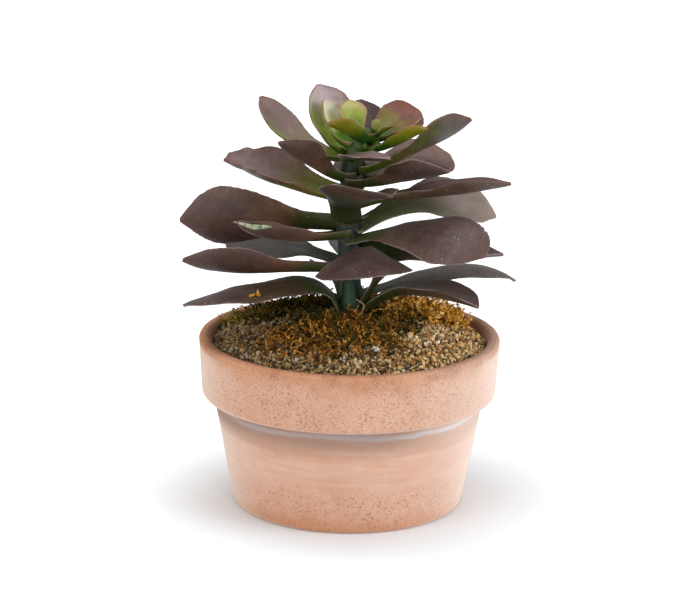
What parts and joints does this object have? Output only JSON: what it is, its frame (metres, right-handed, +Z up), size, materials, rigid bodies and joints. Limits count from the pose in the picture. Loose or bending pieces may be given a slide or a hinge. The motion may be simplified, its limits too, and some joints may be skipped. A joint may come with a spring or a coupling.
{
  "type": "potted succulent",
  "caption": "Leafy rosette succulent with a green crown on a stout stem, standing in a banded terracotta pan filled with grit.",
  "frame": {"origin": "centre of the pot's foot, on the surface that it stands on", "axes": "+Z up along the pot's axis, -Y towards the plant's best side, +X to its right"},
  "size_m": [0.1356, 0.1198, 0.1661],
  "materials": {
    "terracotta": "unglazed, matt, rough",
    "grit": "loose grit, matt",
    "stem green": "smooth green bark, half matt",
    "leaf purple": "waxy, dusty bloom, half matt",
    "leaf green": "waxy, half matt"
  },
  "bodies": {
    "root": {"grit_fill": "grit", "leaf_base_back": "leaf purple", "leaf_base_front": "leaf purple", "leaf_base_left": "leaf purple", "leaf_base_right_back": "leaf purple", "leaf_base_right_front": "leaf purple", "leaf_crown_bud": "leaf green", "leaf_crown_front": "leaf green", "leaf_crown_inner_back": "leaf green", "leaf_crown_inner_front": "leaf green", "leaf_crown_inner_left": "leaf green", "leaf_crown_inner_right": "leaf green", "leaf_crown_left": "leaf green", "leaf_crown_right": "leaf green", "leaf_crown_right_back": "leaf green", "leaf_lower_back": "leaf purple", "leaf_lower_back_left": "leaf purple", "leaf_lower_left": "leaf purple", "leaf_lower_right": "leaf purple", "leaf_middle_back": "leaf purple", "leaf_middle_left": "leaf purple", "leaf_middle_left_front": "leaf purple", "leaf_middle_right_back": "leaf purple", "leaf_middle_right_front": "leaf purple", "leaf_shoulder_back": "leaf purple", "leaf_shoulder_left": "leaf purple", "leaf_shoulder_left_front": "leaf purple", "leaf_shoulder_right": "leaf purple", "leaf_shoulder_right_back": "leaf purple", "leaf_shoulder_right_front": "leaf purple", "leaf_upper_back": "leaf purple", "leaf_upper_front": "leaf purple", "leaf_upper_left": "leaf purple", "leaf_upper_right": "leaf purple", "pot": "terracotta", "stem": "stem green"}
  },
  "joints": []
}
